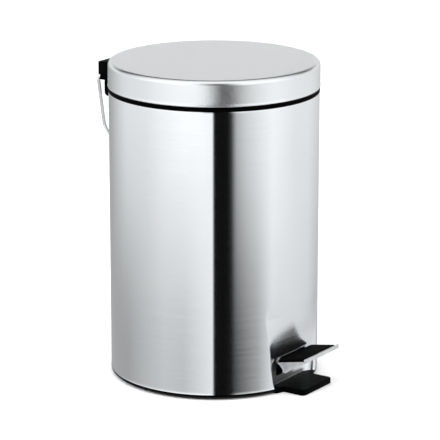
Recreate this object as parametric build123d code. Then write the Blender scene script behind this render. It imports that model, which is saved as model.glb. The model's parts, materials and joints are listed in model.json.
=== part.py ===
from build123d import *
from math import cos, radians, sin, sqrt, tan
import os

# Pedal bin. Millimetres, +Z up, origin on the bin's axis at floor level.
# The pedal points to -Y, the lid hinge is at +Y, and +X is the side with the rod hooks.
# An inset is measured inwards from the body's outside, a reach outwards from it.

# Body
body_radius = 125.0
body_height = 338.9
sheet = 0.8
base_height = 6.5

# Recess pressed into the front of the body: (height, depth, half width) from the floor to its run-out
recess_levels = (
    (0.0, 16.0, 40.6),
    (31.0, 15.0, 47.8),
    (42.0, 10.6, 49.0),
    (60.0, 6.9, 51.9),
    (75.0, 2.9, 53.8),
    (95.0, -0.35, 55.5),
)
recess_bow = 0.35
recess_bow_power = 2.0

# Slot in the recess for the pedal lever
slot_half = 28.0
slot_bottom_z = 16.5
slot_top_z = 41.0
slot_corner = 3.0

# Base moulding
floor_gap = 0.5
base_foot_inset = 4.5
base_edge_height = 2.5
base_floor = 3.0
base_rim = 12.5
upstand = 2.2
upstand_height = 15.5
tongue_length = 25.0
tongue_half = 31.0
tongue_top_z = 7.0
tongue_corner = 5.0
tongue_edge = 1.2
sole_half = 41.0
rib_count = 8
rib_width = 2.0
rib_inner = 24.0
rear_gap_half = 14.0

# Anti-slip ring under the base
grip_inset = 3.5
grip_width = 6.0
grip_height = 2.5

# Lid
lid_overhang = 0.7
lid_height = 30.4
lid_corner = 5.5
liner_flange = 2.3
liner_flange_inset = 7.0
liner_wall = 2.3
liner_top_space = 6.3
liner_top = 2.2
parting = 0.7
notch_half = 18.0
notch_height = 14.1
buffer_angles = (-90, 30, 150)

# Ring on top of the body
ring_flange = 2.5
ring_skirt = 2.25
ring_skirt_height = 6.8
ring_cup_inset = 8.2
ring_wall = 1.8
ledge_drop = 6.4
ledge_width = 7.3
ledge = 2.0
passage_half = 17.6
passage_inset = 14.0
passage_step = 0.8

# Lid hinge
hinge_out = 9.5
hinge_below_top = 18.3
lid_opening = 75.0
hinge_pin_radius = 2.5
ear_x = 14.0
ear_thickness = 2.5
ear_wall = 3.0
arm_plate = 1.8
arm_half = 26.0
arm_front_inset = 53.0
arm_back_inset = 4.8
arm_inner_inset = 10.2
arm_tip_wall = 2.0
liner_screw_x = 20.5
liner_screw_insets = (45.0, 20.0)

# Housing of the lid hinge, behind the lid
housing_half = 40.0
housing_depth = 16.3
housing_top_above_pin = 7.0
housing_drop = 15.0
housing_edge = 1.5
apron_depth = 7.4
apron_height = 19.0
apron_overlap = 4.0
apron_chamfer = 3.0
cavity_half = 18.5
pin_cheek = 4.0
backing_angle = 14.0
backing = 1.5
backing_height = 9.4
housing_screw_angle = 9.5
housing_screw_rise = 4.8
housing_screw_reach = 6.8

# Push rod
rod_radius = 2.0
rod_inset = 6.5
rod_bend = 4.0
rod_low_z = 12.0
rod_hook_low = 14.5
rod_hook_high = 17.5
retainer_width = 2.0
retainer = 1.2
guide_below_top = 165.4
guide_height = 18.0
guide_half = 9.0
guide_wall = 1.9

# Pedal
pivot_y = -45.0
pivot_z = 24.0
pivot_radius = 3.0
plate = 2.0
pad = 3.0
pad_reach = 27.4
pad_back_inset = 9.2
pad_front_half = 33.0
pad_back_half = 36.8
pad_corner = 3.0
pad_front_top_z = 47.6
pad_rise = 7.6
pad_run = 37.4
pedal_half = 36.5
pedal_margin = 0.8
lip_margin = 2.9
lip = 2.3
lip_bottom_z = 43.0
lip_end_gap = 2.6
flange_margin = 0.6
flange_heel = 7.0
flange_heel_z = 29.4
flange_low = 10.4
flange_low_z = 25.8
flange_toe = 23.4
flange_toe_z = 35.4
neck_half = 24.5
neck_flange = 6.5
neck_reach = 6.0
neck_below_pin = 5.0
neck_low_half = 10.0
tail_half = 10.5
tail_top_z = 17.0
tail_bottom_z = 8.4
tail_beyond_rod = 3.4
waist_z = 31.0
waist_front = 25.0
waist_back = 20.0
tail_start = 50.0
tail_full = 56.0
bracket_x = 28.2
bracket = 1.6
bracket_y_half = 12.0
bracket_top = 7.0
bracket_screw_x = 20.0
bracket_screw_dy = 7.5
pivot_head = 1.4
pivot_head_width = 1.6
pin_tail = 3.2
groove_depth = 0.6
clip = 0.8
clip_width = 3.0
clip_mouth_half = 1.8

# Carrying handle on the housing
handle_radius = 2.0
handle_out = 13.0
handle_rise = 5.6
handle_drop = 83.6
handle_hook_half = 33.0
handle_hook_play = 1.0
handle_top_half = 45.0
handle_low_half = 29.6
handle_hook_bend = 4.0
handle_low_bend = 34.0

# Inner bucket and its bail
bucket_floor_z = 46.0
bucket_taper = 12.2
bucket_neck_gap = 1.3
bucket_wall = 1.6
bucket_rim_gap = 2.3
bucket_rim_height = 3.7
bucket_rim_lip = 2.0
bail_radius = 1.6
bail_inset = 3.5
bail_bend = 3.0
bail_bend_step = radians(45)
bail_above_rim = 2.3
bail_end = 6.4
tab_inset = 4.1
tab = 1.6
tab_half = 6.0
tab_top_above_bail = 4.0

# Fasteners
screw_radius = 2.0
screw_head_width = 1.7
screw_head = 2.2
small_screw_radius = 1.75
small_screw_head_width = 1.65
small_screw_head = 2.0
boss_wall = 2.2
boss_cover = 2.0

# Clearances
bore_fit = 0.02
running_fit = 0.08
loose = 0.3
easy = 0.4
wall_gap = 0.05
hook_play = 0.8
slot_play = 1.0

# Derived places: body and base
inner_radius = body_radius - sheet
body_top_z = base_height + body_height
recess_depth = recess_levels[0][1]
base_foot_radius = body_radius - base_foot_inset
base_rim_inner = base_foot_radius - base_rim
grip_outer = base_foot_radius - grip_inset
grip_inner = grip_outer - grip_width

# Derived places: lid and ring
ring_top_z = body_top_z + ring_flange
ring_cup_inner = body_radius - ring_cup_inset
ledge_inner = ring_cup_inner - ledge_width
ledge_z = ring_top_z - ledge_drop
liner_bottom_z = ring_top_z + parting
lid_bottom_z = liner_bottom_z + liner_flange
lid_top_z = lid_bottom_z + lid_height
lid_radius = body_radius + lid_overhang
liner_radius = lid_radius - sheet - 2 * wall_gap
liner_flange_inner = body_radius - liner_flange_inset
liner_disc_top_z = lid_top_z - sheet - liner_top_space
liner_disc_z = liner_disc_top_z - liner_top

# Derived places: hinge, arm and housing
arm_plate_z = liner_disc_z - arm_plate
arm_inner_y = body_radius - arm_inner_inset
arm_back_y = body_radius - arm_back_inset
ear_radius = hinge_pin_radius + ear_wall
hinge_y = body_radius + hinge_out
hinge_z = lid_top_z - hinge_below_top
housing_y = lid_radius + housing_depth
housing_bottom_z = hinge_z - housing_drop
apron_bottom_z = housing_bottom_z - apron_height
housing_screw_z = apron_bottom_z + housing_screw_rise
handle_y = body_radius + handle_out
handle_z = housing_bottom_z + handle_rise
screw_head_radius = screw_radius + screw_head_width
small_screw_head_radius = small_screw_radius + small_screw_head_width
boss_radius = small_screw_radius + boss_wall

# Derived places: rod and pedal
rod_y = body_radius - rod_inset
half_swing = radians(lid_opening / 2)
crank_span = hinge_y - rod_y
crank = crank_span / cos(half_swing)
rod_high_z = hinge_z - crank_span * tan(half_swing)
pad_slope = pad_rise / pad_run
pad_front = body_radius + pad_reach
pad_back = body_radius - pad_back_inset
pedal_back = pad_back + pedal_margin
lip_reach = pad_front + lip_margin
tail_end_y = rod_y + tail_beyond_rod
groove_radius = pivot_radius - groove_depth

# Derived places: bucket and bail
bucket_rim_z = ledge_z + loose
bucket_rim_top_z = bucket_rim_z + bucket_rim_height
bucket_rim_radius = ring_cup_inner - bucket_rim_gap
bucket_neck_radius = ledge_inner - bucket_neck_gap
bucket_low_radius = bucket_neck_radius - bucket_taper
bail_arc = bucket_rim_radius - bail_inset
bail_z = bucket_rim_top_z + bail_above_rim
tab_x = bail_arc - tab_inset


def box(x0, x1, y0, y1, z0, z1):
    """A block between two corners."""
    return Pos((x0 + x1) / 2, (y0 + y1) / 2, (z0 + z1) / 2) * Box(x1 - x0, y1 - y0, z1 - z0)


def disc(radius, z0, z1, x=0.0, y=0.0):
    """An upright cylinder."""
    return Pos(x, y, (z0 + z1) / 2) * Cylinder(radius, z1 - z0)


def tube(outer, inner, z0, z1):
    """An upright ring."""
    return disc(outer, z0, z1) - disc(inner, z0, z1)


def shaft(radius, x0, x1, y, z):
    """A cylinder lying along X."""
    return Pos((x0 + x1) / 2, y, z) * Rot(0, 90, 0) * Cylinder(radius, x1 - x0)


def side_plate(points, x0, x1):
    """A (y, z) outline made into a plate from x0 to x1."""
    face = make_face(Polyline(*points, close=True))
    return extrude(Plane.YZ.offset(x0) * face, amount=x1 - x0)


def flat_plate(points, z0, z1):
    """An (x, y) outline made into a plate from z0 to z1."""
    face = make_face(Polyline(*points, close=True))
    return extrude(Plane.XY.offset(z0) * face, amount=z1 - z0)


def turned(points):
    """A (radius, z) outline turned about the bin's axis."""
    face = make_face(Polyline(*points, close=True))
    return revolve(Plane.XZ * face, Axis.Z)


def radial(shape, angle, radius, z):
    """A shape made along +X, turned so that it points away from the axis, angle counted from +Y."""
    return Rot(0, 0, 90 + angle) * Pos(radius, 0, z) * shape


def recess_section(z, depth, half, bow, offset):
    """Level outline of the recess at height z: its bowed back edge and an open front."""
    front = -(body_radius + recess_depth)
    back = depth - body_radius + offset
    wide = half + offset
    edge = ThreePointArc((-wide, back + bow), (0, back), (wide, back + bow))
    sides = Polyline((wide, back + bow), (wide, front), (-wide, front), (-wide, back + bow))
    return Plane.XY.offset(z) * make_face(edge + sides)


def recess(offset):
    """The space of the pressed recess, grown by offset: nearly upright below, ramping out above."""
    sections = []
    for z, depth, half in recess_levels:
        share = 1 - max(depth, 0) / recess_depth
        body_bow = body_radius - sqrt(body_radius**2 - half**2)
        bow = recess_bow + share**recess_bow_power * (body_bow - recess_bow)
        sections.append(recess_section(z, depth, half, bow, offset))
    space = loft(sections[:2], ruled=True)
    for low, high in zip(sections[1:-1], sections[2:]):
        space += loft([low, high], ruled=True)
    return space


def recess_face_y(z):
    """Where the recess's lower, nearly upright face stands at height z, on the bin's centre line."""
    (low_z, low_depth, _), (high_z, high_depth, _) = recess_levels[:2]
    lean = (low_depth - high_depth) / (high_z - low_z)
    return low_depth - body_radius - lean * (z - low_z)


def outer_body():
    """Rolled steel shell with the pressed recess, the lever slot and the housing's screw holes."""
    outer = disc(body_radius, base_height, body_top_z) - recess(0)
    inner = disc(inner_radius, base_height - 1, body_top_z + 1) - recess(sheet)
    shell = outer - inner
    slot_height = slot_top_z - slot_bottom_z
    slot_face = RectangleRounded(2 * slot_half, slot_height, slot_corner)
    slot_plane = Plane.XZ.offset(body_radius - 2 * recess_depth) * Pos(0, slot_bottom_z + slot_height / 2)
    shell -= extrude(slot_plane * slot_face, amount=3 * recess_depth)
    for side in (-1, 1):
        hole = Rot(0, 90, 0) * Cylinder(screw_radius + easy, 4 * sheet)
        shell -= radial(hole, side * housing_screw_angle, body_radius - sheet / 2, housing_screw_z)
    return shell


def top_rim_ring():
    """Plastic ring that caps the body's edge and carries the bucket on its inner ledge."""
    outer = body_radius + easy
    skirt_outer = inner_radius - wall_gap
    skirt_inner = skirt_outer - ring_skirt
    cup_outer = ring_cup_inner + ring_wall
    ring = turned(
        [
            (skirt_outer, body_top_z),
            (skirt_outer, body_top_z - ring_skirt_height),
            (skirt_inner, body_top_z - ring_skirt_height),
            (skirt_inner, body_top_z),
            (cup_outer, body_top_z),
            (cup_outer, ledge_z - ledge),
            (ledge_inner, ledge_z - ledge),
            (ledge_inner, ledge_z),
            (ring_cup_inner, ledge_z),
            (ring_cup_inner, ring_top_z),
            (outer, ring_top_z),
            (outer, body_top_z),
        ]
    )
    start_y = body_radius - passage_inset
    low_z = ledge_z - 2 * ledge
    deep = box(-passage_half, passage_half, start_y, skirt_inner - 1, low_z, ring_top_z + 1)
    step_z = body_top_z + passage_step
    shallow = box(-passage_half, passage_half, start_y, inner_radius - 1, step_z, ring_top_z + 1)
    return ring - deep - shallow


def base_moulding():
    """Base cup with its foot rim, floor, ribs, inner upstand and the flat tongue under the pedal."""
    shoulder = body_radius - wall_gap
    underside_z = base_height - base_floor
    cup = turned(
        [
            (0, underside_z),
            (base_rim_inner, underside_z),
            (base_rim_inner, floor_gap),
            (base_foot_radius, floor_gap),
            (shoulder, base_height - base_edge_height),
            (shoulder, base_height),
            (0, base_height),
        ]
    )
    wall_outer = inner_radius - wall_gap
    wall = tube(wall_outer, wall_outer - upstand, base_height, base_height + upstand_height)
    wall -= recess(sheet + loose)
    wall -= box(-rear_gap_half, rear_gap_half, 0, body_radius, base_height, base_height + upstand_height)
    chord_y = recess_face_y(tongue_top_z) - easy
    sole = disc(shoulder, floor_gap, tongue_top_z)
    sole &= box(-sole_half, sole_half, -body_radius, chord_y, floor_gap, tongue_top_z)
    tongue_end = -(body_radius + tongue_length)
    slab = box(-tongue_half, tongue_half, tongue_end, chord_y, floor_gap, tongue_top_z)
    front_corners = slab.edges().filter_by(Axis.Z).group_by(Axis.Y)[0]
    slab = fillet(front_corners, tongue_corner)
    rim = slab.faces().sort_by(Axis.Z)[-1].edges().filter_by(lambda e: e.center().Y < chord_y - 1)
    slab = fillet(rim, tongue_edge)
    base = cup + wall + sole + slab
    for index in range(rib_count):
        rib = box(rib_inner, base_rim_inner, -rib_width / 2, rib_width / 2, floor_gap, underside_z)
        base += Rot(0, 0, (index + 0.5) * 360 / rib_count) * rib
    base -= tube(grip_outer + wall_gap, grip_inner - wall_gap, 0, grip_height)
    for x, y in bracket_screw_places():
        base += disc(boss_radius, floor_gap, underside_z, x, y)
        base -= disc(small_screw_radius + bore_fit, 2 * floor_gap, base_height, x, y)
    return base


def anti_slip_ring():
    """Rubber ring in the groove under the base, the face that stands on the floor."""
    return tube(grip_outer, grip_inner, 0, grip_height)


def bracket_screw_places():
    """The four screws that hold the pedal bracket."""
    return [
        (side * bracket_screw_x, pivot_y + along * bracket_screw_dy)
        for side in (-1, 1)
        for along in (-1, 1)
    ]


def pedal_bracket():
    """U-shaped steel bracket that carries the pedal's pivot pin."""
    top_z = pivot_z + bracket_top
    low_y = pivot_y - bracket_y_half
    high_y = pivot_y + bracket_y_half
    foot_z = base_height + bracket
    ear = [
        (low_y, base_height),
        (high_y, base_height),
        (high_y, foot_z + bracket),
        (pivot_y + bracket_top, top_z - bracket_top / 2),
        (pivot_y + bracket_top / 2, top_z),
        (pivot_y - bracket_top / 2, top_z),
        (pivot_y - bracket_top, top_z - bracket_top / 2),
        (low_y, foot_z + bracket),
    ]
    part = box(-bracket_x, bracket_x, low_y, high_y, base_height, foot_z)
    part += side_plate(ear, bracket_x, bracket_x + bracket)
    part += side_plate(ear, -bracket_x - bracket, -bracket_x)
    reach = bracket_x + 2 * bracket
    part -= shaft(pivot_radius + bore_fit, -reach, reach, pivot_y, pivot_z)
    for x, y in bracket_screw_places():
        part -= disc(small_screw_radius + loose, base_height, foot_z, x, y)
    return part


def bracket_screws():
    """Four pan-head screws from the pedal bracket into the base."""
    screws = []
    foot_z = base_height + bracket
    for x, y in bracket_screw_places():
        head = disc(small_screw_head_radius, foot_z, foot_z + small_screw_head, x, y)
        top_edge = head.edges().sort_by(Axis.Z)[-1]
        head = fillet(top_edge, small_screw_head / 3)
        screws.append(head + disc(small_screw_radius, 3 * floor_gap, foot_z, x, y))
    return screws


def pedal_pivot_pin():
    """Pin through the bracket and the pedal lever, headed at one end and grooved at the other."""
    reach = bracket_x + bracket
    pin = shaft(pivot_radius, -reach, reach + pin_tail, pivot_y, pivot_z)
    pin += shaft(pivot_radius + pivot_head_width, -reach - pivot_head, -reach, pivot_y, pivot_z)
    start = reach + easy
    end = start + clip + 2 * wall_gap
    groove = shaft(pivot_radius + 1, start, end, pivot_y, pivot_z)
    groove -= shaft(groove_radius, start, end, pivot_y, pivot_z)
    return pin - groove


def pivot_pin_clip():
    """E-clip in the pivot pin's groove."""
    start = bracket_x + bracket + easy + wall_gap
    end = start + clip
    outer = pivot_radius + clip_width
    ring = shaft(outer, start, end, pivot_y, pivot_z)
    ring -= shaft(groove_radius + bore_fit, start, end, pivot_y, pivot_z)
    mouth = box(start, end, pivot_y - clip_mouth_half, pivot_y + clip_mouth_half, pivot_z, pivot_z + outer)
    return ring - mouth


def pedal_top_z(y):
    """Height of the pedal plate's top at a place in front of the body."""
    return pad_front_top_z - pad - (y + pad_front) * pad_slope


def lever_plan():
    """Outline of the pedal lever from above: wide plate, neck and narrow tail."""
    waist_end = pivot_y + waist_back
    side = [
        (pedal_half, -lip_reach),
        (pedal_half, -pedal_back),
        (neck_half, -pedal_back),
        (neck_half, waist_end),
        (tail_half, pivot_y + tail_start),
        (tail_half, tail_end_y),
    ]
    return side + [(-x, y) for x, y in reversed(side)]


def lever_flanges():
    """The lever's folded flanges: each a (y, z) outline and the distance of its outer face from x = 0."""
    heel_y = -pedal_back - flange_heel
    front_y = -lip_reach + lip + lip_end_gap
    front_z = pedal_top_z(front_y)
    side_flange = [
        (-pedal_back - flange_margin, pedal_top_z(-pedal_back) - plate / 2),
        (heel_y, flange_heel_z),
        (heel_y + flange_margin, flange_low_z + flange_margin),
        (-pedal_back - flange_low, flange_low_z),
        (-pedal_back - flange_toe, flange_toe_z),
        (front_y, front_z - 2 * plate),
        (front_y, front_z - plate / 2),
    ]
    start_y = recess_depth - body_radius
    neck_y = start_y - neck_reach
    neck_low_z = pivot_z - neck_below_pin
    waist_end = pivot_y + waist_back
    neck = [
        (neck_y, pedal_top_z(neck_y) - plate / 2),
        (neck_y, pedal_top_z(neck_y) - neck_flange),
        (start_y, pedal_top_z(start_y) - neck_flange),
        (pivot_y - neck_low_half, neck_low_z),
        (pivot_y + neck_low_half, neck_low_z),
        (waist_end, waist_z - 3 * plate / 2),
        (waist_end, waist_z - plate / 2),
        (pivot_y - waist_front, waist_z - plate / 2),
    ]
    tail = [
        (pivot_y + tail_start, tail_top_z - plate / 2),
        (pivot_y + tail_full, tail_bottom_z),
        (tail_end_y, tail_bottom_z),
        (tail_end_y, tail_top_z - plate / 2),
    ]
    return (side_flange, pedal_half), (neck, neck_half), (tail, tail_half)


def pedal_lever():
    """Stamped lever: pedal plate with lip and side flanges, neck through the slot, tail under the rod."""
    slope_end = recess_depth - body_radius
    top_line = [
        (-lip_reach, pedal_top_z(-lip_reach)),
        (slope_end, pedal_top_z(slope_end)),
        (pivot_y - waist_front, waist_z),
        (pivot_y + waist_back, waist_z),
        (pivot_y + tail_start, tail_top_z),
        (tail_end_y, tail_top_z),
    ]
    under_line = [(y, z - plate) for y, z in reversed(top_line)]
    sheet_metal = side_plate(top_line + under_line, -pedal_half, pedal_half)
    lever = sheet_metal & flat_plate(lever_plan(), 0, pad_front_top_z)
    lip_box = box(-pedal_half, pedal_half, -lip_reach, -lip_reach + lip, lip_bottom_z, pad_front_top_z)
    lever += fillet(lip_box.edges().filter_by(Axis.X), lip / 3)
    for outline, outer in lever_flanges():
        lever += side_plate(outline, outer - plate, outer)
        lever += side_plate(outline, -outer, -outer + plate)
    lever -= shaft(pivot_radius + running_fit, -neck_half - 1, neck_half + 1, pivot_y, pivot_z)
    lever -= shaft(rod_radius + hook_play, tail_half - 2 * plate, tail_half + 1, rod_y, rod_low_z)
    rod_gap_y = rod_y - 2 * rod_radius
    rod_gap_z = tail_top_z - 2 * plate
    rod_gap = box(-rod_bend, tail_half - plate, rod_gap_y, tail_end_y + 1, rod_gap_z, tail_top_z)
    return lever - rod_gap


def pedal_tread():
    """Rubber tread on the pedal plate, with rounded corners."""
    outline = [
        (pad_front_half, -pad_front),
        (pad_back_half, -pad_back),
        (-pad_back_half, -pad_back),
        (-pad_front_half, -pad_front),
    ]
    slab = flat_plate(outline, 0, 2 * pad_front_top_z)
    slab = fillet(slab.edges().filter_by(Axis.Z), pad_corner)
    front = -pad_front - pad
    back = -pad_back + pad
    section = [
        (front, pedal_top_z(front)),
        (back, pedal_top_z(back)),
        (back, pedal_top_z(back) + pad),
        (front, pedal_top_z(front) + pad),
    ]
    return slab & side_plate(section, -2 * pad_back_half, 2 * pad_back_half)


def bent_wire(plane, radius, points, bends):
    """A round wire along straight runs with rounded corners."""
    path = plane * FilletPolyline(*points, radius=bends)
    start = Plane(path @ 0, z_dir=path % 0)
    return sweep(start * Circle(radius), path=path)


def push_rod():
    """Wire rod that lifts the lid, hooked sideways at both ends."""
    points = [(rod_hook_low, rod_low_z), (0, rod_low_z), (0, rod_high_z), (rod_hook_high, rod_high_z)]
    return bent_wire(Plane.XZ.offset(-rod_y), rod_radius, points, rod_bend)


def rod_retainers():
    """Push-on washers that keep the rod's hooks in the lever and in the hinge arm."""
    low_x = tail_half + easy
    high_x = ear_x + ear_thickness / 2 + easy
    washers = []
    for x, z in ((low_x, rod_low_z), (high_x, rod_high_z)):
        washer = shaft(rod_radius + retainer_width, x, x + retainer, rod_y, z)
        washers.append(washer - shaft(rod_radius + bore_fit, x, x + retainer, rod_y, z))
    return washers


def rod_guide():
    """Guide block on the body's inner wall that the push rod slides through."""
    low_z = body_top_z - guide_below_top
    high_z = low_z + guide_height
    block = box(-guide_half, guide_half, rod_y - rod_radius - guide_wall, body_radius, low_z, high_z)
    block &= disc(inner_radius - wall_gap, low_z, high_z)
    return block - disc(rod_radius + loose, low_z, high_z, 0, rod_y)


def crank_direction(angle):
    """Unit (y, z) from the hinge pin along the crank, angle counted up from its rest place."""
    turn = half_swing - radians(angle)
    return -cos(turn), -sin(turn)


def crank_bar(angle, near, far, half):
    """Outline of a straight bar along the crank's direction, from near to far."""
    dy, dz = crank_direction(angle)
    ends = ((near, half), (far, half), (far, -half), (near, -half))
    return [(hinge_y + along * dy - side * dz, hinge_z + along * dz + side * dy) for along, side in ends]


def lid_hinge_arm():
    """Steel arm: a plate under the liner and two ears that reach the hinge pin, one slotted for the rod."""
    arm = box(-arm_half, arm_half, body_radius - arm_front_inset, arm_back_y, arm_plate_z, liner_disc_z)
    slot_reach = crank + rod_radius + easy
    ear_reach = slot_reach - rod_radius
    upright = [
        (arm_inner_y, arm_plate_z),
        (arm_back_y, arm_plate_z),
        (arm_back_y, hinge_z - ear_radius),
        (arm_inner_y, rod_high_z + ear_radius / 2),
    ]
    dy, dz = crank_direction(0)
    tip_y = hinge_y + ear_reach * dy
    tip_z = hinge_z + ear_reach * dz
    tip_radius = rod_radius + easy + arm_tip_wall
    for side in (-1, 1):
        low = side * ear_x - ear_thickness / 2
        high = side * ear_x + ear_thickness / 2
        ear = shaft(ear_radius, low, high, hinge_y, hinge_z)
        ear += side_plate(crank_bar(0, 0, ear_reach, tip_radius), low, high)
        ear += shaft(tip_radius, low, high, tip_y, tip_z)
        ear += side_plate(upright, low, high)
        arm += ear
    reach = ear_x + ear_thickness
    arm -= shaft(hinge_pin_radius + running_fit, -reach, reach, hinge_y, hinge_z)
    slot = crank_bar(0, crank_span - rod_radius - easy, slot_reach, rod_radius + slot_play)
    arm -= side_plate(slot, 0, reach)
    for x, y in liner_screw_places():
        arm -= disc(small_screw_radius + loose, arm_plate_z, liner_disc_z, x, y)
    return arm


def liner_screw_places():
    """The four screws that hold the hinge arm to the lid's liner."""
    return [(side * liner_screw_x, body_radius - inset) for side in (-1, 1) for inset in liner_screw_insets]


def liner_screws():
    """Four pan-head screws from the hinge arm up into the liner's bosses."""
    screws = []
    for x, y in liner_screw_places():
        head = disc(small_screw_head_radius, arm_plate_z - small_screw_head, arm_plate_z, x, y)
        head = fillet(head.edges().sort_by(Axis.Z)[0], small_screw_head / 3)
        screws.append(head + disc(small_screw_radius, arm_plate_z, liner_disc_top_z + boss_cover, x, y))
    return screws


def rear_notch():
    """The gap in the lid's back edge that the hinge ears pass through."""
    low_z = liner_bottom_z - 1
    gap = box(-notch_half, notch_half, 0, housing_y, low_z, lid_bottom_z + notch_height)
    return gap - disc(liner_flange_inner - 1, low_z, lid_top_z)


def lid_shell():
    """Steel lid skin: flat top, rounded corner and straight skirt."""
    outer = disc(lid_radius, lid_bottom_z, lid_top_z)
    outer = fillet(outer.edges().sort_by(Axis.Z)[-1], lid_corner)
    inner = disc(lid_radius - sheet, lid_bottom_z, lid_top_z - sheet)
    inner = fillet(inner.edges().sort_by(Axis.Z)[-1], lid_corner - sheet)
    return outer - inner - rear_notch()


def buffer_places():
    """The three buffers under the liner's flange."""
    ring = (liner_flange_inner + liner_radius) / 2
    return [(ring * cos(radians(a)), ring * sin(radians(a))) for a in buffer_angles]


def lid_liner():
    """Plastic liner inside the lid: flange under the skirt, wall and top with four screw bosses."""
    wall_inner = liner_radius - liner_wall
    liner = turned(
        [
            (liner_flange_inner, liner_bottom_z),
            (liner_radius, liner_bottom_z),
            (liner_radius, liner_disc_top_z),
            (0, liner_disc_top_z),
            (0, liner_disc_z),
            (wall_inner, liner_disc_z),
            (wall_inner, lid_bottom_z),
            (liner_flange_inner, lid_bottom_z),
        ]
    )
    liner -= rear_notch()
    boss_top_z = lid_top_z - sheet - loose
    for x, y in liner_screw_places():
        liner += disc(boss_radius, liner_disc_top_z, boss_top_z, x, y)
        liner -= disc(small_screw_radius + bore_fit, liner_disc_z, liner_disc_top_z + boss_cover, x, y)
    for x, y in buffer_places():
        liner -= disc(small_screw_head_radius + wall_gap, liner_bottom_z, liner_bottom_z + parting, x, y)
    return liner


def lid_buffers():
    """Three rubber buttons that soften the lid's closing."""
    low_z = ring_top_z + loose
    high_z = liner_bottom_z + parting
    return [disc(small_screw_head_radius, low_z, high_z, x, y) for x, y in buffer_places()]


def hinge_housing():
    """Black housing on the body's back that holds the hinge pin and the handle's hooks."""
    top_z = hinge_z + housing_top_above_pin
    inner_y = hinge_y - housing_top_above_pin
    block = box(-housing_half, housing_half, inner_y, housing_y, housing_bottom_z, top_z)
    top_edges = block.edges().filter_by(Axis.X).group_by(Axis.Z)[-1]
    block = fillet(top_edges.sort_by(Axis.Y)[0], housing_top_above_pin - wall_gap)
    block = fillet(block.edges().filter_by(Axis.X).sort_by(Axis.Z)[-1], housing_edge)
    block = fillet(block.edges().filter_by(Axis.Z).group_by(Axis.Y)[-1], housing_edge)
    apron_y = body_radius + apron_depth
    apron = box(-housing_half, housing_half, 0, apron_y, apron_bottom_z, housing_bottom_z + apron_overlap)
    corner = apron.edges().filter_by(Axis.X).group_by(Axis.Y)[-1].sort_by(Axis.Z)[0]
    apron = chamfer(corner, apron_chamfer)
    block += apron
    block -= disc(body_radius + wall_gap, apron_bottom_z, body_top_z - 1)
    block -= disc(lid_radius + 2 * loose, body_top_z - 1, top_z)
    cavity = shaft(ear_radius + loose, -cavity_half, cavity_half, hinge_y, hinge_z)
    far = 3 * housing_top_above_pin
    start_y, start_z = crank_direction(0)
    end_y, end_z = crank_direction(lid_opening)
    fan = [
        (hinge_y, hinge_z),
        (hinge_y + far * start_y, hinge_z + far * start_z),
        (hinge_y + far * end_y, hinge_z + far * end_z),
    ]
    cavity += side_plate(fan, -cavity_half, cavity_half)
    for angle in (0, lid_opening):
        cavity += side_plate(crank_bar(angle, 0, far, ear_radius + loose), -cavity_half, cavity_half)
    block -= cavity
    blind_end = pin_cheek - housing_half + wall_gap
    block -= shaft(hinge_pin_radius + bore_fit, blind_end, housing_half, hinge_y, hinge_z)
    for side in (-1, 1):
        ends = sorted((side * (handle_hook_half - handle_hook_play), side * (housing_half + 1)))
        block -= shaft(handle_radius + running_fit, ends[0], ends[1], handle_y, handle_z)
        bore = Rot(0, 90, 0) * Cylinder(screw_radius + bore_fit, 2 * housing_screw_reach)
        block -= radial(bore, side * housing_screw_angle, body_radius, housing_screw_z)
    return block


def hinge_pin():
    """Pin that the lid's ears turn on, held in the housing's cheeks."""
    start = pin_cheek - housing_half + 2 * wall_gap
    return shaft(hinge_pin_radius, start, housing_half - easy, hinge_y, hinge_z)


def housing_backing_plate():
    """Curved strip inside the body that spreads the housing screws' clamping."""
    outer = inner_radius - wall_gap
    low_z = housing_screw_z - backing_height / 2
    high_z = housing_screw_z + backing_height / 2
    plate_ring = tube(outer, outer - backing, low_z, high_z)
    reach = outer * tan(radians(backing_angle))
    wedge = [(0, 0), (reach, outer), (reach, 2 * outer), (-reach, 2 * outer), (-reach, outer)]
    plate_ring &= flat_plate(wedge, low_z, high_z)
    for side in (-1, 1):
        hole = Rot(0, 90, 0) * Cylinder(screw_radius + loose, 4 * backing)
        plate_ring -= radial(hole, side * housing_screw_angle, outer, housing_screw_z)
    return plate_ring


def housing_screws():
    """Two screws from inside the body into the housing."""
    seat = inner_radius - wall_gap - backing
    length = body_radius + housing_screw_reach - seat
    screws = []
    for side in (-1, 1):
        shank = Pos(length / 2, 0, 0) * Rot(0, 90, 0) * Cylinder(screw_radius, length)
        head = Pos(-screw_head / 2, 0, 0) * Rot(0, 90, 0) * Cylinder(screw_head_radius, screw_head)
        head = fillet(head.edges().sort_by(Axis.X)[0], screw_head / 3)
        sunk = seat - wall_gap
        screws.append(radial(shank + head, side * housing_screw_angle, sunk, housing_screw_z))
    return screws


def carry_handle():
    """Wire carrying handle, hooked into the housing's two sides and hanging down."""
    low_z = handle_z - handle_drop
    points = [
        (-handle_hook_half, handle_z),
        (-handle_top_half, handle_z),
        (-handle_low_half, low_z),
        (handle_low_half, low_z),
        (handle_top_half, handle_z),
        (handle_hook_half, handle_z),
    ]
    bends = [handle_hook_bend, handle_low_bend, handle_low_bend, handle_hook_bend]
    return bent_wire(Plane.XZ.offset(-handle_y), handle_radius, points, bends)


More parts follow.
